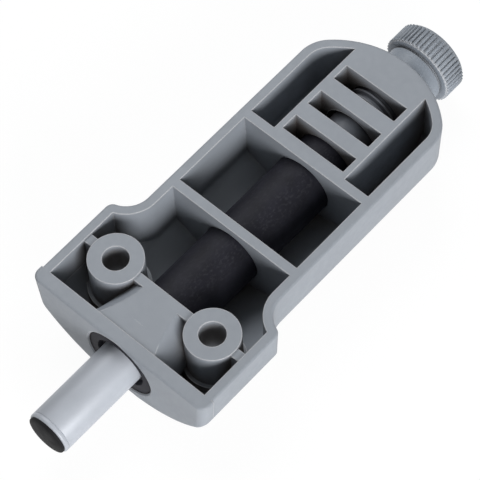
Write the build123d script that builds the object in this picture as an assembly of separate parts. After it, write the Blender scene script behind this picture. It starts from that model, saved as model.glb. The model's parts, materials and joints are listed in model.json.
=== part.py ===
from build123d import *
import math
import os

# Soft-close damper in a screw-on housing. Millimetres.
# The row origin is midway between the two screw holes, on the mounting face.
# +X runs along the damper from the bumper towards the adjusting knob.
# +Z points out of the open face that lies against the cabinet.

os.makedirs("parts", exist_ok=True)

# Mounting screws
screw_spacing = 20.0
screw_hole_r = 2.15
screw_head_r = 4.1
screw_head_seat = 8.6
boss_r = 4.5
boss_foot_r = 5.1
boss_foot_top = 8.0
flange_to_screws = 8.3

# Housing shell: lengths are measured from the back face of the flange
wall = 1.65
floor_thickness = 1.1
body_half_width = 13.75
shoulder_step = 3.85
front_half_width = body_half_width + shoulder_step
shoulder_x = 19.6
shoulder_rise = 0.6
shoulder_y = front_half_width + shoulder_rise
shoulder_edge_r = 1.4
rim_edge_r = 0.4
rear_corner_x = 55.6
rear_corner_r = 6.0
housing_end = 64.7
outer_draft = 2.5
inner_draft = 0.8
knee_depth = 8.0
knee_draft = 23
inner_knee = 9.2

# Damper axis, the collar that runs in the flange and the housing's floor below it
collar_r = 6.35
above_collar = 0.5
below_collar = 1.3
axis_depth = collar_r + above_collar
housing_depth = axis_depth + collar_r + below_collar

# Back of the housing: a shallow crown along X with a narrow flat to lie on
crown_share = 1.25
crown_r = crown_share * front_half_width
keel_flat = 0.25

# Flange across the front
flange_thickness = 2.4
flange_ear = 0.3
flange_half_width = front_half_width + flange_ear
flange_draft = 5
flange_corner_r = 1.6
flange_edge_r = 0.4
flange_mouth_edge = 0.25

# Ribs, front barrel and rear block
rib_thickness = 1.65
rib_drop = 0.3
middle_rib_start = 23.45
rear_rib_start = 40.15
block_half_width = 7.3
block_start = 40.15
slot_half_width = 6.25
slot_starts = (42.65, 48.65, 54.85)
slot_length = 3.15
barrel_r = 7.4
barrel_flare_r = 8.75

# Fits on the damper axis
guide_clearance = 0.05
collar_clearance = 0.08
plunger_clearance = 0.08
rod_clearance = 0.05
face_gap = 0.3

# Cartridge: outer sleeve with its collar, and the end plug
cartridge_r = 5.15
cartridge_length = 48.9
collar_thickness = 1.6
collar_recess = 0.3
mouth_r = 4.7
mouth_depth = 0.9
plug_flange = 0.8
plug_spigot = 2.0
plug_socket = 1.8

# Adjusting screw and knob
travel = 3.0
shank_r = 4.4
shank_length = 5.5
thread_r = 4.65
thread_bore_r = 5.0
knob_collar_r = 5.15
knob_collar_length = 3.05
knob_r = 6.25
knob_length = 4.65
knob_edge_r = 0.9
knurl_count = 48
knurl_turn = -1.75
knurl_height = 0.2
knurl_width = 0.42

# Plunger: moving damper cylinder and its bumper
plunger_r = 3.8
stroke = 13.0
plunger_margin = 2.6
plunger_length = 49.0
plunger_wall = 0.75
plunger_nose = 2.5
plunger_edge_r = 0.35
bumper_r = 3.5
bumper_rise = 0.85
bumper_stem_r = 2.0
bumper_stem_length = 1.6

# Inside the cylinder
rod_r = 1.0
rod_tip_r = 0.7
piston_length = 4.5
piston_clearance = 0.08
ring_groove = 1.0
ring_depth = 0.55
valve_disc_r = 2.6
valve_disc_thickness = 0.4
retainer_r = 1.5
retainer_thickness = 0.8
gland_length = 2.0
seal_length = 0.8
end_ring_length = 1.0
spring_seat_thickness = 1.0
spring_wire_r = 0.2
spring_clearance = 0.35
spring_mean_r = plunger_r - plunger_wall - spring_clearance - spring_wire_r
spring_turns = 10
foam_r = 1.4
foam_length = 8.0

axis_z = -axis_depth
crown_z = crown_r - housing_depth
front_face = -flange_thickness
foot_z = keel_flat - housing_depth


def at(distance):
    """Row x of a distance measured from the back face of the flange."""
    return distance - flange_to_screws


def rod_x(radius, start, end, z=axis_z):
    """Cylinder along X between two distances from the flange."""
    middle = at((start + end) / 2)
    return Pos(middle, 0, z) * Rot(0, 90, 0) * Cylinder(radius, end - start)


def block(start, end, half_width, bottom, top):
    """Box centred on Y between two distances from the flange."""
    centre = Pos(at((start + end) / 2), 0, (bottom + top) / 2)
    return centre * Box(end - start, 2 * half_width, top - bottom)


def plan(inset, start):
    """Plan outline of the housing, moved inwards by the inset."""
    front = front_half_width - inset
    side = body_half_width - inset
    scoop_r = shoulder_y - body_half_width + inset
    corner_r = rear_corner_r - inset
    corner_y = body_half_width - rear_corner_r
    # the rear arc is tangent to both corners and ends at housing_end
    reach = housing_end - rear_corner_x
    big_r = (reach ** 2 + corner_y ** 2 - rear_corner_r ** 2) / (2 * (reach - rear_corner_r))
    big_x = housing_end - big_r
    spread = math.hypot(rear_corner_x - big_x, corner_y)
    ux = (rear_corner_x - big_x) / spread
    uy = corner_y / spread
    end_x = big_x + big_r - inset
    meet_x = shoulder_x - math.sqrt(scoop_r ** 2 - (shoulder_y - front) ** 2)
    turn = math.radians(225)
    scoop_mid = (shoulder_x + scoop_r * math.cos(turn), shoulder_y + scoop_r * math.sin(turn))
    corner_mid_angle = (math.pi / 2 + math.atan2(uy, ux)) / 2
    corner_mid = (
        rear_corner_x + corner_r * math.cos(corner_mid_angle),
        corner_y + corner_r * math.sin(corner_mid_angle),
    )
    corner_end = (rear_corner_x + corner_r * ux, corner_y + corner_r * uy)

    def pair(point, side_sign):
        return (at(point[0]), side_sign * point[1])

    edges = []
    for sign in (1, -1):
        edges.append(Line(pair((start, front), sign), pair((meet_x, front), sign)))
        edges.append(
            ThreePointArc(
                pair((meet_x, front), sign),
                pair(scoop_mid, sign),
                pair((shoulder_x, side), sign),
            )
        )
        edges.append(Line(pair((shoulder_x, side), sign), pair((rear_corner_x, side), sign)))
        edges.append(
            ThreePointArc(
                pair((rear_corner_x, side), sign),
                pair(corner_mid, sign),
                pair(corner_end, sign),
            )
        )
    edges.append(ThreePointArc(pair(corner_end, 1), (at(end_x), 0), pair(corner_end, -1)))
    edges.append(Line(pair((start, front), 1), pair((start, front), -1)))
    return make_face(Curve() + edges)


def crown(radius, start, end):
    """Cylinder that gives the housing its rounded back."""
    return rod_x(radius, start, end, crown_z)


def turned(profile):
    """Solid turned about the damper axis from (distance, radius) points."""
    points = [(at(x), axis_z + radius) for x, radius in profile]
    face = make_face(Polyline(*points, close=True))
    placed = Plane.XZ.location * face
    return revolve(placed, Axis((0, 0, axis_z), (1, 0, 0)))


def make_flange():
    """Front plate with the crowned lower edge and drafted sides."""
    disc = Pos(0, crown_z) * Circle(crown_r)
    lower_half = flange_half_width + foot_z * math.tan(math.radians(flange_draft))
    plate = make_face(
        Polyline(
            (flange_half_width, 0),
            (lower_half, foot_z),
            (-lower_half, foot_z),
            (-flange_half_width, 0),
            close=True,
        )
    )
    outline = Plane.YZ.offset(at(front_face)) * (disc & plate)
    flange = extrude(outline, flange_thickness)
    across = flange.faces().sort_by(Axis.X)[0].edges().sort_by(Axis.Y)
    flange = fillet([across[0], across[-1]], flange_corner_r)
    front = flange.faces().sort_by(Axis.X)[0]
    flange = fillet(front.edges().sort_by(Axis.Z)[-1], flange_edge_r)
    # the crown on both sides of the flat, and the flat
    lower = flange.faces().sort_by(Axis.X)[0].edges().sort_by(Axis.Z)[:3]
    return fillet(lower, flange_edge_r)


def is_shoulder(edge):
    """Upright edge where the wide front meets the hollow of the shoulder."""
    box = edge.bounding_box()
    upright = box.max.Z > -0.01 and box.min.Z < -knee_depth / 2
    wide = abs(edge.center().Y) > (body_half_width + front_half_width) / 2
    return upright and wide and box.min.X > at(0)


def make_barrel():
    """Tube between the flange and the cross rib, flared towards the flange."""
    # the flare is an arc that runs level into the cross rib
    flare = barrel_flare_r - barrel_r
    bend_r = (flange_to_screws**2 + flare**2) / (2 * flare)
    middle = flange_to_screws / 2
    middle_r = barrel_r + bend_r - math.sqrt(bend_r**2 - middle**2)
    mouth = (at(0), axis_z + barrel_flare_r)
    end = (at(flange_to_screws), axis_z + barrel_r)
    outline = Curve() + [
        ThreePointArc(mouth, (at(middle), axis_z + middle_r), end),
        Line(end, (end[0], axis_z)),
        Line((end[0], axis_z), (mouth[0], axis_z)),
        Line((mouth[0], axis_z), mouth),
    ]
    placed = Plane.XZ.location * make_face(outline)
    return revolve(placed, Axis((0, 0, axis_z), (1, 0, 0)))


def is_mouth(edge):
    """Round edge of the collar bore in the flange's front."""
    if edge.geom_type != GeomType.CIRCLE or abs(edge.center().X - at(front_face)) > 0.01:
        return False
    return abs(edge.radius - collar_r - collar_clearance) < 0.01


def is_rim(edge):
    """Edge of the mounting face, other than the one hidden by the flange."""
    return edge.bounding_box().max.X > at(1)


def make_housing():
    """Ribbed housing moulding."""
    inset = knee_depth * math.tan(math.radians(outer_draft))
    below = housing_depth - knee_depth + 0.5
    # the taper also draws in the front, so the shell starts well ahead and is cut back
    ahead = -below
    outer = extrude(plan(0, ahead), -knee_depth, taper=outer_draft)
    outer += extrude(Pos(0, 0, -knee_depth) * plan(inset, ahead), -below, taper=knee_draft)
    outer = outer & crown(crown_r, ahead, housing_end + 1)
    # the shell reaches halfway into the flat strip left on top of the flange
    shell_start = (flange_edge_r - flange_thickness) / 2
    width = 2 * front_half_width
    outer = outer & block(shell_start, housing_end + 1, width, foot_z, 1)
    shoulders = outer.edges().filter_by(is_shoulder)
    outer = fillet(shoulders, shoulder_edge_r)
    rim = outer.faces().sort_by(Axis.Z)[-1].edges().filter_by(is_rim)
    outer = fillet(rim, rim_edge_r)
    floor_crown = crown(crown_r - floor_thickness, ahead, housing_end + 1)
    deep = wall + inner_knee * math.tan(math.radians(inner_draft))
    hollow = extrude(plan(wall, 0), -inner_knee, taper=inner_draft)
    hollow += extrude(Pos(0, 0, -inner_knee) * plan(deep, 0), inner_knee - housing_depth, taper=knee_draft)
    hollow = hollow & floor_crown

    ribs = block(
        flange_to_screws - rib_thickness / 2,
        flange_to_screws + rib_thickness / 2,
        front_half_width,
        -housing_depth,
        -rib_drop,
    )
    for start in (middle_rib_start, rear_rib_start):
        ribs += block(start, start + rib_thickness, body_half_width, -housing_depth, 0)
    ribs += block(block_start, housing_end, block_half_width, -housing_depth, 0)
    barrel = make_barrel()
    ribs += barrel - block(-2, flange_to_screws + 1, front_half_width, -rib_drop, 9)
    for side in (1, -1):
        y = side * screw_spacing / 2
        ribs += Pos(0, y, -housing_depth / 2) * Cylinder(boss_r, housing_depth)
        foot = housing_depth - boss_foot_top
        ribs += Pos(0, y, -boss_foot_top - foot / 2) * Cylinder(boss_foot_r, foot)
    pockets = hollow - ribs
    body = outer - pockets + make_flange()

    for start in slot_starts:
        slot = block(start, start + slot_length, slot_half_width, -housing_depth, 1)
        body -= slot & floor_crown
    guide_end = slot_starts[2] + slot_length
    body -= rod_x(cartridge_r + guide_clearance, -1, guide_end)
    body -= rod_x(thread_bore_r, guide_end - 1, housing_end + 2)
    collar_bore = collar_recess + collar_thickness + travel + face_gap / 3
    collar_bore_r = collar_r + collar_clearance
    body -= rod_x(collar_bore_r, front_face - 1, front_face + collar_bore)
    mouth = body.edges().filter_by(is_mouth)
    body = chamfer(mouth, flange_mouth_edge)
    for side in (1, -1):
        y = side * screw_spacing / 2
        body -= Pos(0, y, -housing_depth / 2) * Cylinder(screw_hole_r, 2 * housing_depth)
        head = housing_depth - screw_head_seat + 2
        body -= Pos(0, y, -screw_head_seat - head / 2) * Cylinder(screw_head_r, head)
    return body


def make_adjuster():
    """Adjusting screw and knurled knob, one moulding."""
    start = front_face + cartridge_length + plug_flange + guide_clearance
    shank_end = start + shank_length
    collar_start = housing_end + face_gap
    knob_start = collar_start + knob_collar_length
    knob_end = knob_start + knob_length
    screw = turned(
        [
            (start, 0),
            (start, shank_r - 0.4),
            (start + 0.4, shank_r),
            (shank_end, shank_r),
            (shank_end + 0.2, thread_r),
            (collar_start, thread_r),
            (collar_start, knob_collar_r),
            (knob_start, knob_collar_r),
            (knob_start, knob_r - 0.15),
            (knob_start + 0.15, knob_r),
            (knob_end - knob_edge_r, knob_r),
            (knob_end - knob_edge_r * 0.6, knob_r - knob_edge_r * 0.08),
            (knob_end - knob_edge_r * 0.29, knob_r - knob_edge_r * 0.29),
            (knob_end - knob_edge_r * 0.08, knob_r - knob_edge_r * 0.6),
            (knob_end, knob_r - knob_edge_r),
            (knob_end, 0),
        ]
    )
    ridge_length = knob_length - knob_edge_r - 0.15
    ridge_x = at(knob_start + 0.15 + ridge_length / 2)
    ridge = Box(ridge_length, knurl_width, 2 * knurl_height)
    ridges = []
    for index in range(knurl_count):
        turn = Rot(knurl_turn + 360 * index / knurl_count, 0, 0)
        ridges.append(Pos(ridge_x, 0, axis_z) * turn * Pos(0, 0, knob_r) * ridge)
    return screw + ridges


def make_sleeve():
    """Outer sleeve of the damper cartridge with its guide collar."""
    front = front_face + collar_recess
    end = front_face + cartridge_length
    bore_r = plunger_r + plunger_clearance
    return turned(
        [
            (front, mouth_r),
            (front, collar_r - 0.15),
            (front + 0.15, collar_r),
            (front + collar_thickness, collar_r),
            (front + collar_thickness, cartridge_r),
            (end, cartridge_r),
            (end, bore_r),
            (front + mouth_depth + 0.3, bore_r),
            (front + mouth_depth, mouth_r - 0.3),
        ]
    )


def make_end_plug():
    """Plug that closes the sleeve and anchors the rod."""
    end = front_face + cartridge_length
    spigot_start = end - plug_spigot
    spigot_r = plunger_r + plunger_clearance
    plug = rod_x(spigot_r, spigot_start, end) + rod_x(cartridge_r, end, end + plug_flange)
    return plug - rod_x(rod_r, spigot_start - 1, spigot_start + plug_socket)


def piston_start():
    """Front face of the piston, close to the gland at rest."""
    return gland_start() - face_gap - valve_disc_thickness - piston_length


def cylinder_front():
    """Front end of the moving cylinder at rest."""
    return front_face - stroke - plunger_margin


def gland_start():
    """Front face of the rod gland."""
    end = cylinder_front() + plunger_length
    return end - end_ring_length - seal_length - gland_length


def make_cylinder():
    """Moving damper cylinder, closed at the nose."""
    front = cylinder_front()
    end = front + plunger_length
    bore_r = plunger_r - plunger_wall
    groove = 0.75
    return turned(
        [
            (front, bumper_stem_r),
            (front, plunger_r - plunger_edge_r),
            (front + plunger_edge_r * 0.3, plunger_r - plunger_edge_r * 0.3),
            (front + plunger_edge_r, plunger_r),
            (front + groove, plunger_r),
            (front + groove + 0.08, plunger_r - 0.08),
            (front + groove + 0.16, plunger_r),
            (end - 0.4, plunger_r),
            (end, plunger_r - 0.3),
            (end, bore_r),
            (front + plunger_nose, bore_r),
            (front + plunger_nose, 0),
            (front + bumper_stem_length, 0),
            (front + bumper_stem_length, bumper_stem_r),
        ]
    )


def make_bumper():
    """Rubber bumper with a domed face and a stem."""
    front = cylinder_front()
    edge = 0.3
    return turned(
        [
            (front + bumper_stem_length, 0),
            (front + bumper_stem_length, bumper_stem_r),
            (front, bumper_stem_r),
            (front, bumper_r),
            (front - edge * 0.5, bumper_r - edge * 0.15),
            (front - edge, bumper_r - edge * 0.7),
            (front - bumper_rise * 0.8, bumper_r * 0.62),
            (front - bumper_rise * 0.95, bumper_r * 0.32),
            (front - bumper_rise, 0),
        ]
    )


def make_rod():
    """Steel rod from the end plug to the piston, with a reduced tip."""
    end = front_face + cartridge_length - plug_spigot + plug_socket
    shoulder = piston_start() + piston_length
    tip = piston_start() - retainer_thickness
    return rod_x(rod_r, shoulder, end) + rod_x(rod_tip_r, tip, shoulder)


def make_piston():
    """Piston with a groove for its ring."""
    start = piston_start()
    end = start + piston_length
    outer_r = plunger_r - plunger_wall - piston_clearance
    groove = start + (piston_length - ring_groove) / 2
    return turned(
        [
            (start, rod_tip_r),
            (start, outer_r),
            (groove, outer_r),
            (groove, outer_r - ring_depth),
            (groove + ring_groove, outer_r - ring_depth),
            (groove + ring_groove, outer_r),
            (end, outer_r),
            (end, rod_tip_r),
        ]
    )


def ring_x(outer_r, inner_r, start, length):
    """Plain ring on the damper axis."""
    return rod_x(outer_r, start, start + length) - rod_x(inner_r, start - 1, start + length + 1)


def make_spring():
    """Return spring between the piston and the nose of the cylinder."""
    start = cylinder_front() + plunger_nose + spring_seat_thickness + spring_wire_r
    end = piston_start() - spring_wire_r
    height = end - start
    path = Helix(height / spring_turns, height, spring_mean_r)
    section = Plane(origin=path @ 0, z_dir=path % 0) * Circle(spring_wire_r)
    coil = sweep(section, path=path, is_frenet=True)
    return Pos(at(start), 0, axis_z) * Rot(0, 90, 0) * coil


bore_r = plunger_r - plunger_wall
ring_start = piston_start() + (piston_length - ring_groove) / 2
groove_r = bore_r - piston_clearance - ring_depth
inner_nose = cylinder_front() + plunger_nose
seal_start = gland_start() + gland_length
end_ring_start = seal_start + seal_length
valve_start = piston_start() + piston_length

parts = {
    "housing": make_housing(),
    "adjuster_screw": make_adjuster(),
    "cartridge_sleeve": make_sleeve(),
    "cartridge_end_plug": make_end_plug(),
    "damper_cylinder": make_cylinder(),
    "bumper_tip": make_bumper(),
    "piston_rod": make_rod(),
    "piston": make_piston(),
    "piston_ring": ring_x(bore_r - 0.02, groove_r, ring_start, ring_groove),
    "valve_disc": ring_x(valve_disc_r, rod_r, valve_start, valve_disc_thickness),
    "rod_retainer": ring_x(
        retainer_r, rod_tip_r, piston_start() - retainer_thickness, retainer_thickness
    ),
    "rod_gland": ring_x(bore_r, rod_r + rod_clearance, gland_start(), gland_length),
    "rod_seal": ring_x(bore_r, rod_r + rod_clearance, seal_start, seal_length),
    "end_ring": ring_x(bore_r, rod_r + 0.4, end_ring_start, end_ring_length),
    "spring_seat": rod_x(bore_r - 0.1, inner_nose, inner_nose + spring_seat_thickness),
    "compensator_foam": rod_x(
        foam_r,
        inner_nose + spring_seat_thickness,
        inner_nose + spring_seat_thickness + foam_length,
    ),
    "return_spring": make_spring(),
}

for name, shape in parts.items():
    export_step(shape, f"parts/{name}.step")
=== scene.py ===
"""Looks of a soft close damper, laid out as an add-on and run as a script."""

import json
import math

import bmesh
import bpy
from bpy.props import FloatProperty, FloatVectorProperty, IntProperty, PointerProperty
from mathutils import Matrix, Vector


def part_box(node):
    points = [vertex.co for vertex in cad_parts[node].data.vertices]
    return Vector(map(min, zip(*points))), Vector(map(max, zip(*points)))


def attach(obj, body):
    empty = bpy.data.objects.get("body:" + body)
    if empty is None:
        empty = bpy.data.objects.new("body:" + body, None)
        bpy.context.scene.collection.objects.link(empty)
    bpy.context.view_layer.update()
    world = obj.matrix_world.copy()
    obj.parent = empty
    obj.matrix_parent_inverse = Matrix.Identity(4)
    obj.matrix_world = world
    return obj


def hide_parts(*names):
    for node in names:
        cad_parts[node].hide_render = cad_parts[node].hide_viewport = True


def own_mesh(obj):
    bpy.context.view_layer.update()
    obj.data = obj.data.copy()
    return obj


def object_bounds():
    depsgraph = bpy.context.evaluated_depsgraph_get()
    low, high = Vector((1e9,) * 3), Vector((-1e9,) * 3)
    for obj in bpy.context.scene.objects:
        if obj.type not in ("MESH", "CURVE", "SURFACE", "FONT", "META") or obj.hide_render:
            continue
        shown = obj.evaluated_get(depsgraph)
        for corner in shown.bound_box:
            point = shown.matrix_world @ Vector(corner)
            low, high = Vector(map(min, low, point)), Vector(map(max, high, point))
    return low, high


bl_info = {
    "name": "Soft close damper",
    "version": (1, 0, 0),
    "blender": (4, 5, 0),
    "location": "3D View > Sidebar > Damper",
    "description": "Dresses the packed soft close damper and sets its stage",
    "category": "Object",
}

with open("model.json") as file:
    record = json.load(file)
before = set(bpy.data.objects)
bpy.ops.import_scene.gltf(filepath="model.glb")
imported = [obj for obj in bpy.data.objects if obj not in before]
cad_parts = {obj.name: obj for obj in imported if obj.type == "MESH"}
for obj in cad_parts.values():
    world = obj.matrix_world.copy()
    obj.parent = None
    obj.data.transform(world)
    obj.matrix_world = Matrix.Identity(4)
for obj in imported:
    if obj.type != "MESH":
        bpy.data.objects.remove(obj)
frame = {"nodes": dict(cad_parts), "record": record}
cad_box = [list(corner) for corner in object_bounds()]

MM = 0.001

# paler grey of the scuffs, which along the right flank also stand for a painted sheen
SCUFF_AND_SHEEN_GREY = (0.05, 0.05, 0.058)
# painted highlight along the black cartridge's edges
PAINTED_BLACK_HIGHLIGHT = (0.06, 0.06, 0.066)
# painted highlight along the silver plunger's edges
PAINTED_SILVER_HIGHLIGHT = (0.78, 0.80, 0.83)
# painted shade on the screw where it lies inside the housing
HOUSING_SHADE_GREY = (0.055, 0.057, 0.072)
PLAIN_WHITE = (1.0, 1.0, 1.0)

# share of each channel that is left in the painted shade of a deep corner
CORNER_SHADE_TINT = (0.25, 0.165, 0.105)


def middle_axis():
    """Height of the damper's own axis."""
    low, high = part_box("damper_cylinder")
    return (low.z + high.z) / 2


def radius_of(node):
    """Largest radius of a turned CAD node."""
    low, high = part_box(node)
    return (high.y - low.y) / 2


AXIS_Z = middle_axis()


class DamperSizes(bpy.types.PropertyGroup):
    """Small sizes that only the dressed model has."""

    turned_steps: IntProperty(
        name="Turned steps",
        description="Segments round a turned piece",
        default=128,
        min=32,
    )
    thread_pitch: FloatProperty(
        name="Thread pitch",
        description="Distance between two ridges of the adjusting thread",
        default=1.25 * MM,
        unit="LENGTH",
    )
    thread_major: FloatProperty(
        name="Thread radius",
        description="Outer radius of the adjusting thread",
        default=4.9 * MM,
        unit="LENGTH",
    )
    thread_root: FloatProperty(
        name="Thread root",
        description="Radius at the bottom of the thread",
        default=4.25 * MM,
        unit="LENGTH",
    )
    knurl_count: IntProperty(
        name="Knurl ridges",
        description="Ridges round the knob",
        default=48,
        min=8,
    )
    knurl_turn: FloatProperty(
        name="Knurl turn",
        description="Turn of the first ridge from straight up",
        default=math.radians(-1.75),
        subtype="ANGLE",
    )
    knurl_height: FloatProperty(
        name="Knurl height",
        description="How far a ridge stands out of the knob",
        default=0.3 * MM,
        unit="LENGTH",
    )


class DamperFinish(bpy.types.PropertyGroup):
    """Colours and roughness of the visible pieces."""

    housing_colour: FloatVectorProperty(
        name="Housing colour",
        description="Grey of the moulded housing",
        default=(0.275, 0.298, 0.332),
        subtype="COLOR",
        size=3,
    )
    # paler grey painted along the moulding's edges as a highlight
    edge_highlight_colour: FloatVectorProperty(
        name="Edge colour",
        description="Paler grey along the moulding's edges",
        default=(0.64, 0.645, 0.66),
        subtype="COLOR",
        size=3,
    )
    adjuster_colour: FloatVectorProperty(
        name="Adjuster colour",
        description="Grey of the screw and its knob",
        default=(0.245, 0.275, 0.315),
        subtype="COLOR",
        size=3,
    )
    cartridge_colour: FloatVectorProperty(
        name="Cartridge colour",
        description="Matt black of the cartridge",
        default=(0.012, 0.012, 0.017),
        subtype="COLOR",
        size=3,
    )
    plunger_colour: FloatVectorProperty(
        name="Plunger colour",
        description="Satin silver of the plunger",
        default=(0.415, 0.44, 0.485),
        subtype="COLOR",
        size=3,
    )
    bumper_colour: FloatVectorProperty(
        name="Bumper colour",
        description="Black of the rubber tip",
        default=(0.008, 0.008, 0.009),
        subtype="COLOR",
        size=3,
    )
    housing_roughness: FloatProperty(
        name="Housing roughness",
        description="Roughness of the moulded plastic",
        default=0.5,
        min=0.0,
        max=1.0,
        subtype="FACTOR",
    )


# Shader nodes


def feed(tree, socket, value):
    """Links a socket to an input, or gives the input a plain number or colour."""
    if isinstance(value, bpy.types.NodeSocket):
        tree.links.new(value, socket)
    elif isinstance(value, (int, float)):
        socket.default_value = value
    else:
        socket.default_value = (*value[:3], 1.0)


def object_place(tree):
    """Place on the piece, in the piece's own coordinates."""
    return tree.nodes.new("ShaderNodeTexCoord").outputs["Object"]


def coordinate(tree, axis):
    """One coordinate of the place on the piece."""
    split = tree.nodes.new("ShaderNodeSeparateXYZ")
    tree.links.new(object_place(tree), split.inputs[0])
    return split.outputs[axis]


def noise(tree, vector, scale, detail, roughness):
    """Noise texture with a fixed scale."""
    node = tree.nodes.new("ShaderNodeTexNoise")
    node.inputs["Scale"].default_value = scale
    node.inputs["Detail"].default_value = detail
    node.inputs["Roughness"].default_value = roughness
    tree.links.new(vector, node.inputs["Vector"])
    return node


def spread(tree, value, low, high, out_low, out_high):
    """Maps a range of a value to another one, clamped."""
    node = tree.nodes.new("ShaderNodeMapRange")
    node.inputs["From Min"].default_value = low
    node.inputs["From Max"].default_value = high
    node.inputs["To Min"].default_value = out_low
    node.inputs["To Max"].default_value = out_high
    tree.links.new(value, node.inputs["Value"])
    return node.outputs["Result"]


def blend_colours(tree, factor, first, second):
    """Mixes two colours by a factor; each may be a socket or plain."""
    node = tree.nodes.new("ShaderNodeMix")
    node.data_type = "RGBA"
    # a mix node has sockets for every kind of data: 0 is the factor, 6 and 7 are the colours
    for place, value in ((0, factor), (6, first), (7, second)):
        feed(tree, node.inputs[place], value)
    return node.outputs[2]


def tone_between(tree, mask, colour, dark, light):
    """Blends a darker share of a colour into a lighter one."""
    return blend_colours(tree, mask, [part * dark for part in colour], [part * light for part in colour])


def calculate(tree, operation, first, second):
    """Math node; each term may be a socket or a number."""
    node = tree.nodes.new("ShaderNodeMath")
    node.operation = operation
    feed(tree, node.inputs[0], first)
    feed(tree, node.inputs[1], second)
    return node.outputs[0]


def share_of(tree, mask, share):
    """Part of a mask that a share or another mask leaves."""
    return calculate(tree, "MULTIPLY", mask, share)


def openness(tree, reach):
    """How open the surface is within a reach: 1 in the open, 0 where it is shut in."""
    node = tree.nodes.new("ShaderNodeAmbientOcclusion")
    node.samples = 8
    tree.links.new(reach, node.inputs["Distance"])
    return node.outputs["AO"]


# Shader node groups, each one effect that several materials use


def new_group(name, inputs, outputs):
    """Empty shader group with named sockets."""
    group = bpy.data.node_groups.new(name, "ShaderNodeTree")
    for label, kind, value in inputs:
        socket = group.interface.new_socket(name=label, in_out="INPUT", socket_type=kind)
        socket.default_value = value
    for label, kind in outputs:
        group.interface.new_socket(name=label, in_out="OUTPUT", socket_type=kind)
    start = group.nodes.new("NodeGroupInput")
    end = group.nodes.new("NodeGroupOutput")
    return group, start, end


def moulded_skin(name):
    """Fine skin of moulded plastic: cloudy tone, uneven gloss and a spark-eroded grain."""
    group, start, end = new_group(
        name,
        [
            ("Cloud Scale", "NodeSocketFloat", 120.0),
            ("Grain Scale", "NodeSocketFloat", 5200.0),
        ],
        [
            ("Cloud", "NodeSocketFloat"),
            ("Gloss", "NodeSocketFloat"),
            ("Grain", "NodeSocketFloat"),
        ],
    )
    place = object_place(group)
    cloud = noise(group, place, 120.0, 4.0, 0.55)
    group.links.new(start.outputs["Cloud Scale"], cloud.inputs["Scale"])
    gloss = noise(group, place, 900.0, 3.0, 0.6)
    grain = noise(group, place, 5200.0, 2.0, 0.5)
    group.links.new(start.outputs["Grain Scale"], grain.inputs["Scale"])
    group.links.new(spread(group, cloud.outputs[0], 0.3, 0.7, 0.0, 1.0), end.inputs["Cloud"])
    group.links.new(spread(group, gloss.outputs[0], 0.3, 0.7, -1.0, 1.0), end.inputs["Gloss"])
    group.links.new(grain.outputs[0], end.inputs["Grain"])


def painted_edge_highlight(name):
    """Mask of painted highlights on the outer edges, where the surface turns within the width and
    nothing stands near.
    """
    group, start, end = new_group(
        name,
        [("Width", "NodeSocketFloat", 0.2 * MM)],
        [("Edge", "NodeSocketFloat"), ("Rounded", "NodeSocketVector")],
    )
    rounded = group.nodes.new("ShaderNodeBevel")
    rounded.samples = 6
    group.links.new(start.outputs["Width"], rounded.inputs["Radius"])
    surface = group.nodes.new("ShaderNodeNewGeometry")
    match = group.nodes.new("ShaderNodeVectorMath")
    match.operation = "DOT_PRODUCT"
    group.links.new(rounded.outputs["Normal"], match.inputs[0])
    group.links.new(surface.outputs["Normal"], match.inputs[1])
    turned = spread(group, match.outputs["Value"], 0.99, 0.92, 0.0, 1.0)
    nearby = openness(group, share_of(group, start.outputs["Width"], 3.0))
    free = spread(group, nearby, 0.65, 0.85, 0.0, 1.0)
    group.links.new(share_of(group, turned, free), end.inputs["Edge"])
    group.links.new(rounded.outputs["Normal"], end.inputs["Rounded"])


def painted_corner_shade(name):
    """Mask of painted shade in deep corners, where little light comes in."""
    group, start, end = new_group(
        name,
        [("Reach", "NodeSocketFloat", 6.0 * MM)],
        [("Depth", "NodeSocketFloat")],
    )
    hidden = openness(group, start.outputs["Reach"])
    group.links.new(spread(group, hidden, 0.55, 0.08, 0.0, 1.0), end.inputs["Depth"])


def use_group(tree, build, values):
    """Places an effect's group, which is built on its first use, and sets its inputs."""
    name = build.__name__
    if name not in bpy.data.node_groups:
        build(name)
    node = tree.nodes.new("ShaderNodeGroup")
    node.node_tree = bpy.data.node_groups[name]
    for label, value in values.items():
        node.inputs[label].default_value = value
    return node


# Materials


def new_material(name, metallic=0.0, specular=0.5):
    """Material with an empty Principled shader."""
    material = bpy.data.materials.new(name)
    material.use_nodes = True
    shader = material.node_tree.nodes["Principled BSDF"]
    shader.inputs["Metallic"].default_value = metallic
    shader.inputs["Specular IOR Level"].default_value = specular
    return material, material.node_tree, shader


def add_bump(tree, shader, height, strength, distance, under=None):
    """Feeds a height to the shader's normal, on top of a rounded one if it is given."""
    bump = tree.nodes.new("ShaderNodeBump")
    bump.inputs["Strength"].default_value = strength
    bump.inputs["Distance"].default_value = distance
    tree.links.new(height, bump.inputs["Height"])
    if under is not None:
        tree.links.new(under, bump.inputs["Normal"])
    tree.links.new(bump.outputs["Normal"], shader.inputs["Normal"])


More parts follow.
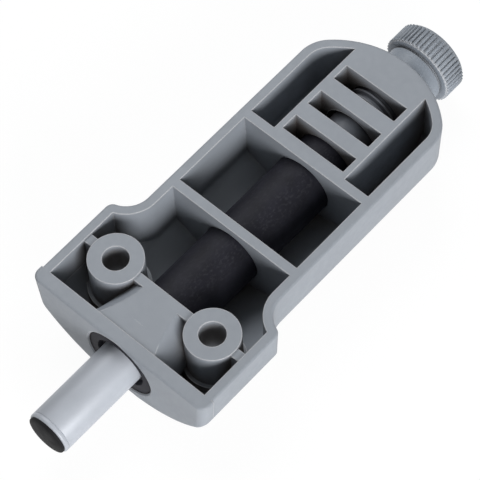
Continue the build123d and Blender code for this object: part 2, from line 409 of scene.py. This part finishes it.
def plastic(name, colour, edge_highlight_colour, roughness, edge_highlight_share, tone_spread, grain, reach=5.0 * MM):
    """Satin moulded plastic with painted highlights along its edges, painted shade in deep corners,
    uneven gloss and a fine grain.
    """
    material, tree, shader = new_material(name, specular=0.4)
    skin = use_group(tree, moulded_skin, {"Cloud Scale": 130.0, "Grain Scale": grain})
    edge = use_group(tree, painted_edge_highlight, {"Width": 0.32 * MM})
    deep = use_group(tree, painted_corner_shade, {"Reach": reach})
    tone = tone_between(tree, skin.outputs["Cloud"], colour, 1 - tone_spread, 1 + tone_spread)
    # painted shade: darker, warmer colour in deep corners
    shade = [channel * tint for channel, tint in zip(colour, CORNER_SHADE_TINT)]
    tone = blend_colours(tree, share_of(tree, deep.outputs["Depth"], 0.95), tone, shade)
    # painted highlight: paler colour along the outer edges
    tone = blend_colours(tree, share_of(tree, edge.outputs["Edge"], edge_highlight_share), tone, edge_highlight_colour)
    tree.links.new(tone, shader.inputs["Base Color"])
    rough = calculate(tree, "ADD", share_of(tree, skin.outputs["Gloss"], 0.06), roughness)
    rough = calculate(tree, "ADD", rough, share_of(tree, deep.outputs["Depth"], 0.45))
    tree.links.new(rough, shader.inputs["Roughness"])
    add_bump(tree, shader, skin.outputs["Grain"], 0.25, 0.02 * MM, edge.outputs["Rounded"])
    return material


def painted_housing_shade(material, end_x):
    """Darkens a plastic with painted shade ahead of a place on X, where the piece lies inside the
    housing.
    """
    tree = material.node_tree
    base = tree.nodes["Principled BSDF"].inputs["Base Color"]
    unshaded = base.links[0].from_socket
    shade_share = spread(tree, coordinate(tree, "X"), end_x - 1.5 * MM, end_x - 0.5 * MM, 0.6, 0.0)
    tree.links.new(blend_colours(tree, shade_share, unshaded, HOUSING_SHADE_GREY), base)


def drawn_streaks(tree, along, across):
    """Streaks along X for turned and extruded pieces."""
    mapping = tree.nodes.new("ShaderNodeMapping")
    mapping.inputs["Scale"].default_value = (along, across, across)
    tree.links.new(object_place(tree), mapping.inputs["Vector"])
    return noise(tree, mapping.outputs["Vector"], 1.0, 3.0, 0.6).outputs[0]


def scuff_and_sheen_strip(tree):
    """Share of scuffs round the cartridge, the most along a strip on its right flank, where they also
    stand for a painted sheen.
    """
    side = coordinate(tree, "Y")
    rising = spread(tree, side, -4.2 * MM, -2.6 * MM, 0.2, 1.0)
    falling = spread(tree, side, -1.8 * MM, 0.2 * MM, 1.0, 0.3)
    return calculate(tree, "MINIMUM", rising, falling)


def cartridge_plastic(name, colour):
    """Matt black plastic with faint scuffs along the cartridge, a painted sheen on its right flank and
    painted highlights on its edges.
    """
    material, tree, shader = new_material(name, specular=0.12)
    skin = use_group(tree, moulded_skin, {"Cloud Scale": 420.0, "Grain Scale": 4200.0})
    edge = use_group(tree, painted_edge_highlight, {"Width": 0.15 * MM})
    scuff = drawn_streaks(tree, 1500.0, 2600.0)
    # scuffs, strengthened along the right flank into a painted sheen
    scuffs_and_sheen = share_of(tree, spread(tree, scuff, 0.5, 0.72, 0.0, 1.0), scuff_and_sheen_strip(tree))
    tone = tone_between(tree, skin.outputs["Cloud"], colour, 0.8, 1.35)
    tone = blend_colours(tree, share_of(tree, scuffs_and_sheen, 0.5), tone, SCUFF_AND_SHEEN_GREY)
    # painted highlight: paler black along the outer edges
    tone = blend_colours(tree, share_of(tree, edge.outputs["Edge"], 0.35), tone, PAINTED_BLACK_HIGHLIGHT)
    tree.links.new(tone, shader.inputs["Base Color"])
    rough = calculate(tree, "ADD", share_of(tree, scuffs_and_sheen, -0.08), 0.58)
    tree.links.new(rough, shader.inputs["Roughness"])
    add_bump(tree, shader, skin.outputs["Grain"], 0.35, 0.03 * MM)
    return material


def satin_silver(name, colour):
    """Satin silver tube with very fine drawing lines and a painted highlight along its edges."""
    material, tree, shader = new_material(name, metallic=0.06)
    edge = use_group(tree, painted_edge_highlight, {"Width": 0.12 * MM})
    skin = use_group(tree, moulded_skin, {"Cloud Scale": 160.0, "Grain Scale": 6000.0})
    lines = drawn_streaks(tree, 120.0, 5200.0)
    tone = tone_between(tree, skin.outputs["Cloud"], colour, 0.95, 1.05)
    # painted highlight: pale colour along the outer edges
    tone = blend_colours(tree, share_of(tree, edge.outputs["Edge"], 0.85), tone, PAINTED_SILVER_HIGHLIGHT)
    tree.links.new(tone, shader.inputs["Base Color"])
    tree.links.new(spread(tree, lines, 0.3, 0.7, 0.38, 0.45), shader.inputs["Roughness"])
    add_bump(tree, shader, lines, 0.08, 0.01 * MM)
    return material


def soft_rubber(name, colour):
    """Matt rubber with a pebbled skin."""
    material, tree, shader = new_material(name, specular=0.12)
    skin = use_group(tree, moulded_skin, {"Cloud Scale": 300.0, "Grain Scale": 2600.0})
    tone = tone_between(tree, skin.outputs["Cloud"], colour, 0.75, 1.5)
    tree.links.new(tone, shader.inputs["Base Color"])
    rough = calculate(tree, "ADD", share_of(tree, skin.outputs["Gloss"], 0.07), 0.62)
    tree.links.new(rough, shader.inputs["Roughness"])
    add_bump(tree, shader, skin.outputs["Grain"], 0.4, 0.04 * MM)
    return material


def ground_steel(name, colour, roughness):
    """Ground or drawn steel."""
    material, tree, shader = new_material(name, metallic=1.0)
    lines = drawn_streaks(tree, 300.0, 4200.0)
    tone = tone_between(tree, spread(tree, lines, 0.3, 0.7, 0.0, 1.0), colour, 0.88, 1.0)
    tree.links.new(tone, shader.inputs["Base Color"])
    rough = spread(tree, lines, 0.3, 0.7, roughness - 0.05, roughness + 0.06)
    tree.links.new(rough, shader.inputs["Roughness"])
    add_bump(tree, shader, lines, 0.1, 0.01 * MM)
    return material


# Modelling helpers


def only(obj):
    """Deselects everything but one object, which becomes the active one."""
    bpy.ops.object.select_all(action="DESELECT")
    obj.select_set(True)
    bpy.context.view_layer.objects.active = obj


def set_finish(obj, material):
    """Gives an object one material."""
    obj.data.materials.clear()
    obj.data.materials.append(material)


def finish_piece(obj, name, node, material):
    """Names a finished piece, gives it its material and lets it stand for its CAD node."""
    obj.name = name
    obj.data.name = name
    set_finish(obj, material)
    record = frame["record"]
    body = next(key for key, nodes in record["behaviour"]["bodies"].items() if node in nodes)
    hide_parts(node)
    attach(obj, body)


def copy_of_node(node):
    """Merged copy of a CAD node, without the node's own marks and normals."""
    source = frame["nodes"][node]
    copy = source.copy()
    copy.data = source.data.copy()
    copy.parent = None
    copy.matrix_world = Matrix.Identity(4)
    bpy.context.scene.collection.objects.link(copy)
    copy.hide_render = False
    copy.hide_viewport = False
    for key in list(copy.keys()):
        del copy[key]
    merge_distance = 0.003 * MM
    only(copy)
    bpy.ops.object.mode_set(mode="EDIT")
    bpy.ops.mesh.select_all(action="SELECT")
    bpy.ops.mesh.remove_doubles(threshold=merge_distance)
    bpy.ops.mesh.dissolve_degenerate(threshold=merge_distance)
    bpy.ops.object.mode_set(mode="OBJECT")
    bpy.ops.mesh.customdata_custom_splitnormals_clear()
    return copy


def smooth_by_angle(obj, degrees):
    """Smooth shading up to an angle between faces."""
    only(obj)
    bpy.ops.object.shade_smooth()
    edit = bmesh.new()
    edit.from_mesh(obj.data)
    for edge in edit.edges:
        edge.smooth = edge.calc_face_angle(0.0) < math.radians(degrees)
    edit.to_mesh(obj.data)
    edit.free()


def break_edges(obj, width, degrees):
    """Chamfers the edges of a piece that turn more than an angle."""
    bevel = obj.modifiers.new("edge_break", "BEVEL")
    bevel.width = width
    bevel.segments = 1
    bevel.limit_method = "ANGLE"
    bevel.angle_limit = math.radians(degrees)
    bevel.use_clamp_overlap = False
    only(obj)
    bpy.ops.object.modifier_apply(modifier=bevel.name)


def flatten_shading(obj):
    """Keeps wide faces flat in shading, so that only the small ones beside them turn."""
    weighted = obj.modifiers.new("flat_faces", "WEIGHTED_NORMAL")
    weighted.mode = "FACE_AREA_WITH_ANGLE"
    weighted.weight = 60
    weighted.keep_sharp = True
    only(obj)
    bpy.ops.object.modifier_apply(modifier=weighted.name)


def quarter_turn(steps):
    """Angles from nothing to a quarter turn."""
    return [math.radians(90 * step / steps) for step in range(steps + 1)]


def broken_edge(x, radius, size, middle, towards):
    """Three points that break an outer corner; the piece lies towards +X (1) or -X (-1) of it."""
    points = [
        (x, radius - size),
        (x + towards * middle, radius - middle),
        (x + towards * size, radius),
    ]
    return points if towards > 0 else points[::-1]


def turn_rings(profile, steps, fill):
    """Extrudes a circle ring by ring through (x, radius) points, and stays in edit mode."""
    last_x, last_r = profile[0]
    bpy.ops.object.select_all(action="DESELECT")
    bpy.ops.mesh.primitive_circle_add(
        vertices=steps,
        radius=last_r,
        fill_type=fill,
        location=(last_x, 0, AXIS_Z),
        rotation=(0, math.pi / 2, 0),
    )
    piece = bpy.context.object
    bpy.ops.object.transform_apply(location=True, rotation=True, scale=True)
    bpy.ops.object.mode_set(mode="EDIT")
    bpy.ops.mesh.select_all(action="SELECT")
    for x, radius in profile[1:]:
        bpy.ops.mesh.extrude_region_move(TRANSFORM_OT_translate={"value": (x - last_x, 0, 0)})
        share = radius / last_r
        bpy.ops.transform.resize(value=(1, share, share), center_override=(x, 0, AXIS_Z))
        last_x, last_r = x, radius
    bpy.ops.mesh.select_all(action="SELECT")
    return piece


def close_up():
    """Turns the selected faces of the mesh in work outwards and leaves edit mode."""
    bpy.ops.mesh.normals_make_consistent(inside=False)
    bpy.ops.object.mode_set(mode="OBJECT")


def turned_piece(profile, steps):
    """Closed solid turned about the damper axis."""
    piece = turn_rings(profile, steps, "NGON")
    close_up()
    return piece


def ring_piece(profile, steps):
    """Closed ring turned about the damper axis, whose last ring is merged with its first."""
    piece = turn_rings(profile + profile[:1], steps, "NOTHING")
    bpy.ops.mesh.remove_doubles(threshold=0.0005 * MM)
    close_up()
    return piece


def join_to(piece, others):
    """Joins further shells to a piece."""
    only(piece)
    for other in others:
        other.select_set(True)
    bpy.ops.object.join()
    return piece


def helix_piece(section, start_x, end_x, turns, turn_steps):
    """Closed helical solid: a section of (along, radius) points spun and moved along the axis."""
    bpy.ops.object.select_all(action="DESELECT")
    bpy.ops.mesh.primitive_circle_add(
        vertices=len(section), radius=MM, fill_type="NGON", location=(0, 0, 0)
    )
    piece = bpy.context.object
    bpy.ops.object.mode_set(mode="EDIT")
    edit = bmesh.from_edit_mesh(piece.data)
    edit.faces.ensure_lookup_table()
    for vert, (along, radius) in zip(edit.faces[0].verts, section):
        vert.co = Vector((start_x + along, 0, AXIS_Z + radius))
    bmesh.update_edit_mesh(piece.data)
    bpy.ops.mesh.select_all(action="SELECT")
    bpy.ops.mesh.spin(
        steps=round(turns * turn_steps),
        angle=turns * 2 * math.pi,
        center=(start_x, 0, AXIS_Z),
        axis=(1, 0, 0),
    )
    bpy.ops.object.mode_set(mode="OBJECT")
    # the spun sections follow one another in the vertex list
    last = len(piece.data.vertices) // len(section) - 1
    for vert in piece.data.vertices:
        vert.co.x += (end_x - start_x) * (vert.index // len(section)) / last
    only(piece)
    bpy.ops.object.mode_set(mode="EDIT")
    bpy.ops.mesh.select_all(action="SELECT")
    close_up()
    return piece


def knurl_ridges(start_x, end_x, radius, sizes):
    """Rounded ridges round the knob, one modelled and the others copied."""
    length = end_x - start_x
    pitch = 2 * math.pi * radius / sizes.knurl_count
    width = pitch * 0.66
    bpy.ops.object.select_all(action="DESELECT")
    bpy.ops.mesh.primitive_cylinder_add(
        vertices=10,
        radius=0.5,
        depth=1.0,
        location=(0, 0, 0),
        rotation=(0, math.pi / 2, 0),
    )
    first = bpy.context.object
    bpy.ops.object.transform_apply(location=True, rotation=True, scale=True)
    bpy.ops.object.mode_set(mode="EDIT")
    bpy.ops.mesh.select_all(action="SELECT")
    bpy.ops.transform.resize(
        value=(length, width, 2 * sizes.knurl_height), center_override=(0, 0, 0)
    )
    bpy.ops.transform.translate(value=((start_x + end_x) / 2, 0, AXIS_Z + radius))
    bpy.ops.object.mode_set(mode="OBJECT")
    ridges = [first]
    for index in range(1, sizes.knurl_count):
        ridge = first.copy()
        ridge.data = first.data.copy()
        bpy.context.scene.collection.objects.link(ridge)
        ridges.append(ridge)
    centre = Matrix.Translation((0, 0, AXIS_Z))
    for index, ridge in enumerate(ridges):
        turn = sizes.knurl_turn + 2 * math.pi * index / sizes.knurl_count
        ridge.data.transform(centre @ Matrix.Rotation(turn, 4, "X") @ centre.inverted())
    return join_to(ridges[0], ridges[1:])


# Operators, one for each piece or group of like pieces


class DAMPER_OT_housing(bpy.types.Operator):
    """Shade the housing's faces and edges and give it its grey plastic"""

    bl_idname = "damper.housing"
    bl_label = "Dress the housing"

    def execute(self, context):
        finish = context.scene.damper_finish
        grey = plastic(
            "housing_grey",
            finish.housing_colour,
            finish.edge_highlight_colour,
            finish.housing_roughness,
            edge_highlight_share=0.9,
            tone_spread=0.035,
            grain=5200.0,
        )
        housing = copy_of_node("housing")
        smooth_by_angle(housing, 38)
        flatten_shading(housing)
        finish_piece(housing, "housing_moulding", "housing", grey)
        return {"FINISHED"}


class DAMPER_OT_adjuster(bpy.types.Operator):
    """Turn the adjusting screw, cut its thread and knurl its knob"""

    bl_idname = "damper.adjuster"
    bl_label = "Model the adjusting screw"

    def execute(self, context):
        sizes = context.scene.damper_sizes
        finish = context.scene.damper_finish
        low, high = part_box("adjuster_screw")
        housing_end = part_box("housing")[1].x
        start, end = low.x, high.x
        knob_r = radius_of("adjuster_screw") - sizes.knurl_height
        collar_start = housing_end + 0.3 * MM
        knob_start = collar_start + 3.05 * MM
        collar_r = 5.15 * MM
        shank_r = 4.4 * MM
        shank_end = start + 5.5 * MM
        root = sizes.thread_root
        pole_r = 0.02 * MM
        collar_edge = 0.1 * MM
        groove_r = collar_r - 0.3 * MM
        knob_edge = 0.9 * MM
        thread_steps = 48
        rounded = [
            (end - knob_edge * (1 - math.sin(turn)), knob_r - knob_edge * (1 - math.cos(turn)))
            for turn in quarter_turn(8)
        ]
        body = turned_piece(
            [(start, pole_r)]
            + broken_edge(start, shank_r, 0.4 * MM, 0.12 * MM, 1)
            + [
                (shank_end, shank_r),
                (shank_end + 0.15 * MM, root),
                (collar_start - 0.2 * MM, root),
                (collar_start, root),
                (collar_start, collar_r - collar_edge),
                (collar_start + collar_edge, collar_r),
                (knob_start - 0.45 * MM, collar_r),
                (knob_start - 0.38 * MM, groove_r),
                (knob_start, groove_r),
            ]
            + broken_edge(knob_start, knob_r, 0.2 * MM, 0.06 * MM, 1)
            + rounded
            + [(end, pole_r)],
            sizes.turned_steps,
        )
        smooth_by_angle(body, 35)
        flank = 0.42 * sizes.thread_pitch
        crest = 0.1 * sizes.thread_pitch
        sunk = root - 0.15 * MM
        thread_start = shank_end + 0.7 * MM
        thread_end = housing_end - 0.6 * MM
        ridge = helix_piece(
            [(-flank, sunk), (flank, sunk), (crest, sizes.thread_major), (-crest, sizes.thread_major)],
            thread_start,
            thread_end,
            (thread_end - thread_start) / sizes.thread_pitch,
            thread_steps,
        )
        smooth_by_angle(ridge, 50)
        knurls = knurl_ridges(knob_start + 0.2 * MM, end - knob_edge * 0.75, knob_r, sizes)
        break_edges(knurls, 0.05 * MM, 60)
        smooth_by_angle(knurls, 50)
        screw = join_to(body, [ridge, knurls])
        grey = plastic(
            "adjuster_grey",
            finish.adjuster_colour,
            finish.edge_highlight_colour,
            finish.housing_roughness - 0.04,
            edge_highlight_share=0.8,
            tone_spread=0.03,
            grain=5200.0,
            reach=4.5 * MM,
        )
        # painted shade on the part of the screw inside the housing
        painted_housing_shade(grey, housing_end)
        finish_piece(screw, "adjusting_screw", "adjuster_screw", grey)
        return {"FINISHED"}


class DAMPER_OT_cartridge(bpy.types.Operator):
    """Model the black cartridge: sleeve with its collar, and end plug"""

    bl_idname = "damper.cartridge"
    bl_label = "Model the cartridge"

    def execute(self, context):
        sizes = context.scene.damper_sizes
        finish = context.scene.damper_finish
        black = cartridge_plastic("cartridge_black", finish.cartridge_colour)
        low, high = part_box("cartridge_sleeve")
        front, end = low.x, high.x
        collar_r = radius_of("cartridge_sleeve")
        sleeve_r = 5.15 * MM
        bore_r = 3.88 * MM
        mouth_r = 4.7 * MM
        collar_end = front + 1.6 * MM
        edge = 0.1 * MM
        sleeve = ring_piece(
            [(front, mouth_r)]
            + broken_edge(front, collar_r, 0.25 * MM, 0.07 * MM, 1)
            + [
                (collar_end - edge, collar_r),
                (collar_end, collar_r - edge),
                (collar_end, sleeve_r + 0.15 * MM),
                (collar_end + 0.15 * MM, sleeve_r),
                (end - edge, sleeve_r),
                (end, sleeve_r - edge),
                (end, bore_r),
                (front + 1.2 * MM, bore_r),
                (front + 1.0 * MM, bore_r + 0.15 * MM),
                (front + 0.9 * MM, mouth_r - 0.3 * MM),
                (front + 0.15 * MM, mouth_r - 0.08 * MM),
            ],
            sizes.turned_steps,
        )
        smooth_by_angle(sleeve, 40)
        finish_piece(sleeve, "cartridge_outer", "cartridge_sleeve", black)
        low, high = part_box("cartridge_end_plug")
        plug_r = radius_of("cartridge_end_plug")
        plug_edge = 0.08 * MM
        pole_r = 0.02 * MM
        plug = turned_piece(
            [
                (low.x, pole_r),
                (low.x, bore_r - plug_edge),
                (low.x + 0.2 * MM, bore_r),
                (end, bore_r),
                (end, plug_r - plug_edge),
                (end + plug_edge, plug_r),
            ]
            + broken_edge(high.x, plug_r, 0.2 * MM, 0.06 * MM, -1)
            + [(high.x, pole_r)],
            sizes.turned_steps,
        )
        smooth_by_angle(plug, 40)
        finish_piece(plug, "cartridge_plug", "cartridge_end_plug", black)
        return {"FINISHED"}


class DAMPER_OT_plunger(bpy.types.Operator):
    """Model the silver plunger and its rubber tip"""

    bl_idname = "damper.plunger"
    bl_label = "Model the plunger"

    def execute(self, context):
        sizes = context.scene.damper_sizes
        finish = context.scene.damper_finish
        silver = satin_silver("plunger_silver", finish.plunger_colour)
        rubber = soft_rubber("bumper_black", finish.bumper_colour)
        low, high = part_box("damper_cylinder")
        front, end = low.x, high.x
        outer = radius_of("damper_cylinder")
        bore = outer - 0.75 * MM
        edge = 0.35 * MM
        groove = front + 0.75 * MM
        floor_x = front + 2.5 * MM
        centre_r = 0.05 * MM
        stem_r = 2.0 * MM
        stem_end = front + 1.6 * MM
        lip = [
            (front + edge * (1 - math.cos(turn)), outer - edge * (1 - math.sin(turn)))
            for turn in quarter_turn(6)
        ]
        cylinder = ring_piece(
            [(front, stem_r)]
            + lip
            + [
                (groove - 0.04 * MM, outer),
                (groove, outer - 0.02 * MM),
                (groove + 0.06 * MM, outer - 0.09 * MM),
                (groove + 0.12 * MM, outer - 0.02 * MM),
                (groove + 0.16 * MM, outer),
                (end - 0.4 * MM, outer),
                (end, outer - 0.3 * MM),
                (end, bore),
                (floor_x, bore),
                (floor_x, centre_r),
                (stem_end, centre_r),
                (stem_end, stem_r),
            ],
            sizes.turned_steps,
        )
        smooth_by_angle(cylinder, 40)
        finish_piece(cylinder, "plunger_cylinder", "damper_cylinder", silver)
        low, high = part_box("bumper_tip")
        tip_r = radius_of("bumper_tip")
        rise = front - low.x
        shoulder = 0.3 * MM
        pole_r = 0.03 * MM
        dome = [
            (front - shoulder - (rise - shoulder) * math.sin(turn), max(tip_r * math.cos(turn), pole_r))
            for turn in quarter_turn(12)
        ]
        tip = turned_piece(
            [
                (stem_end, pole_r),
                (stem_end, stem_r),
                (front, stem_r),
                (front, tip_r),
            ]
            + dome,
            sizes.turned_steps,
        )
        smooth_by_angle(tip, 40)
        finish_piece(tip, "plunger_bumper", "bumper_tip", rubber)
        return {"FINISHED"}


class DAMPER_OT_spring(bpy.types.Operator):
    """Wind the return spring"""

    bl_idname = "damper.spring"
    bl_label = "Wind the return spring"

    def execute(self, context):
        wire = ground_steel("spring_wire", (0.55, 0.55, 0.56), 0.32)
        low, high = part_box("return_spring")
        wire_r = 0.2 * MM
        wire_steps = 10
        coil_turns = 10
        coil_steps = 36
        coil_r = radius_of("return_spring") - wire_r
        section = [
            (wire_r * math.cos(turn), coil_r + wire_r * math.sin(turn))
            for turn in (2 * math.pi * step / wire_steps for step in range(wire_steps))
        ]
        coil = helix_piece(section, low.x + wire_r, high.x - wire_r, coil_turns, coil_steps)
        smooth_by_angle(coil, 60)
        finish_piece(coil, "return_coil", "return_spring", wire)
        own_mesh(coil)
        return {"FINISHED"}


class DAMPER_OT_inner_parts(bpy.types.Operator):
    """Give the hidden parts inside the plunger their materials"""

    bl_idname = "damper.inner_parts"
    bl_label = "Finish the inner parts"

    def execute(self, context):
        steel = ground_steel("rod_ground_steel", (0.6, 0.6, 0.6), 0.25)
        acetal = plastic(
            "natural_acetal",
            (0.7, 0.7, 0.66),
            edge_highlight_colour=(0.8, 0.8, 0.77),
            roughness=0.4,
            edge_highlight_share=0.3,
            tone_spread=0.02,
            grain=6000.0,
        )
        filled = plastic(
            "filled_ring_plastic",
            (0.12, 0.1, 0.08),
            edge_highlight_colour=(0.2, 0.18, 0.15),
            roughness=0.5,
            edge_highlight_share=0.3,
            tone_spread=0.05,
            grain=6000.0,
        )
        seal = soft_rubber("seal_black", (0.02, 0.02, 0.02))
        foam = soft_rubber("foam_grey", (0.1, 0.1, 0.1))
        by_slot = {
            "rod_steel": steel,
            "piston_plastic": acetal,
            "ring_plastic": filled,
            "seal_rubber": seal,
            "foam": foam,
        }
        for part in frame["record"]["subparts"]:
            if part["material_slot"] in by_slot:
                node = frame["nodes"][part["node"]]
                for slot in node.material_slots:
                    slot.material = by_slot[part["material_slot"]]
        return {"FINISHED"}


# Stage


def area_light(name, position, target, size, power, colour):
    """Square soft light aimed at a point."""
    data = bpy.data.lights.new(name, "AREA")
    data.shape = "SQUARE"
    data.size = size
    data.energy = power
    data.color = colour
    light = bpy.data.objects.new(name, data)
    bpy.context.scene.collection.objects.link(light)
    light.location = position
    aim = Vector(target) - Vector(position)
    light.rotation_euler = aim.to_track_quat("-Z", "Y").to_euler()


def seen_directly(tree):
    """Value of 1 for camera, mirror and transmission rays."""
    path = tree.nodes.new("ShaderNodeLightPath")
    direct = calculate(tree, "MAXIMUM", path.outputs["Is Camera Ray"], path.outputs["Is Glossy Ray"])
    return calculate(tree, "MAXIMUM", direct, path.outputs["Is Transmission Ray"])


def white_paper():
    """Paper that shows nearly white to the camera and still takes the damper's shadow."""
    white = bpy.data.materials.new("white_paper")
    white.use_nodes = True
    tree = white.node_tree
    tree.nodes.clear()
    paper = tree.nodes.new("ShaderNodeBsdfDiffuse")
    feed(tree, paper.inputs["Color"], (0.88, 0.88, 0.88))
    glow = tree.nodes.new("ShaderNodeEmission")
    feed(tree, glow.inputs["Color"], PLAIN_WHITE)
    glow.inputs["Strength"].default_value = 1.03
    blend = tree.nodes.new("ShaderNodeMixShader")
    tree.links.new(share_of(tree, seen_directly(tree), 0.92), blend.inputs[0])
    tree.links.new(paper.outputs[0], blend.inputs[1])
    tree.links.new(glow.outputs[0], blend.inputs[2])
    end = tree.nodes.new("ShaderNodeOutputMaterial")
    tree.links.new(blend.outputs[0], end.inputs["Surface"])
    return white


def white_world(scene):
    """World that is white to the camera and lights the damper only faintly."""
    world = scene.world or bpy.data.worlds.new("studio")
    scene.world = world
    world.use_nodes = True
    tree = world.node_tree
    background = tree.nodes["Background"]
    feed(tree, background.inputs["Color"], PLAIN_WHITE)
    strength = spread(tree, seen_directly(tree), 0.0, 1.0, 0.13, 1.0)
    tree.links.new(strength, background.inputs["Strength"])


def photo_camera(scene):
    """Camera fitted to the photograph."""
    data = bpy.data.cameras.new("photo_camera")
    data.sensor_width = 36.0
    data.lens = 195.853
    data.clip_start = 0.01
    data.clip_end = 20.0
    camera = bpy.data.objects.new("photo_camera", data)
    scene.collection.objects.link(camera)
    right = Vector((0.66789242, -0.74328598, -0.0380218))
    up = Vector((0.65808338, 0.56592713, 0.49664147))
    forward = Vector((0.34762907, 0.35672459, -0.86712259))
    place = Matrix((right, up, -forward)).transposed().to_4x4()
    place.translation = Vector((-0.124266, -0.144985, 0.346955))
    camera.matrix_world = place
    scene.camera = camera


class DAMPER_OT_stage(bpy.types.Operator):
    """Set the white floor, the soft light and the photograph's camera"""

    bl_idname = "damper.stage"
    bl_label = "Set the stage"

    def execute(self, context):
        scene = context.scene
        scene.view_settings.view_transform = "Standard"
        floor_z = cad_box[0][2]
        bpy.ops.object.select_all(action="DESELECT")
        bpy.ops.mesh.primitive_plane_add(size=6.0, location=(0.02, 0, floor_z))
        floor = context.object
        floor.name = "white_floor"
        bpy.ops.object.transform_apply(location=True, rotation=True, scale=True)
        set_finish(floor, white_paper())
        white_world(scene)
        middle = (0.015, 0.0, -0.004)
        area_light(
            "side_light",
            position=(-0.24, -0.50, 0.17),
            target=middle,
            size=0.28,
            power=3.7,
            colour=PLAIN_WHITE,
        )
        area_light(
            "top_light",
            position=(0.20, 0.28, 0.38),
            target=middle,
            size=0.35,
            power=1.6,
            colour=(0.97, 0.985, 1.0),
        )
        photo_camera(scene)
        return {"FINISHED"}


class DAMPER_PT_panel(bpy.types.Panel):
    """Sidebar panel with the sizes, finishes and operators"""

    bl_label = "Soft close damper"
    bl_idname = "DAMPER_PT_panel"
    bl_space_type = "VIEW_3D"
    bl_region_type = "UI"
    bl_category = "Damper"

    def draw(self, context):
        layout = self.layout
        for group in (context.scene.damper_sizes, context.scene.damper_finish):
            box = layout.box()
            for key in group.__annotations__:
                box.prop(group, key)
        for operator in OPERATORS:
            layout.operator(operator.bl_idname)


OPERATORS = (
    DAMPER_OT_housing,
    DAMPER_OT_adjuster,
    DAMPER_OT_cartridge,
    DAMPER_OT_plunger,
    DAMPER_OT_spring,
    DAMPER_OT_inner_parts,
    DAMPER_OT_stage,
)
CLASSES = (DamperSizes, DamperFinish) + OPERATORS + (DAMPER_PT_panel,)


def register():
    """Registers the classes and hangs the settings on the scene."""
    for cls in CLASSES:
        bpy.utils.register_class(cls)
    bpy.types.Scene.damper_sizes = PointerProperty(type=DamperSizes)
    bpy.types.Scene.damper_finish = PointerProperty(type=DamperFinish)


def unregister():
    """Takes the settings and the classes away again."""
    del bpy.types.Scene.damper_finish
    del bpy.types.Scene.damper_sizes
    for cls in reversed(CLASSES):
        bpy.utils.unregister_class(cls)


def main():
    """Makes every piece in order."""
    register()
    bpy.ops.damper.housing()
    bpy.ops.damper.adjuster()
    bpy.ops.damper.cartridge()
    bpy.ops.damper.plunger()
    bpy.ops.damper.spring()
    bpy.ops.damper.inner_parts()
    bpy.ops.damper.stage()


if __name__ == "__main__":
    main()
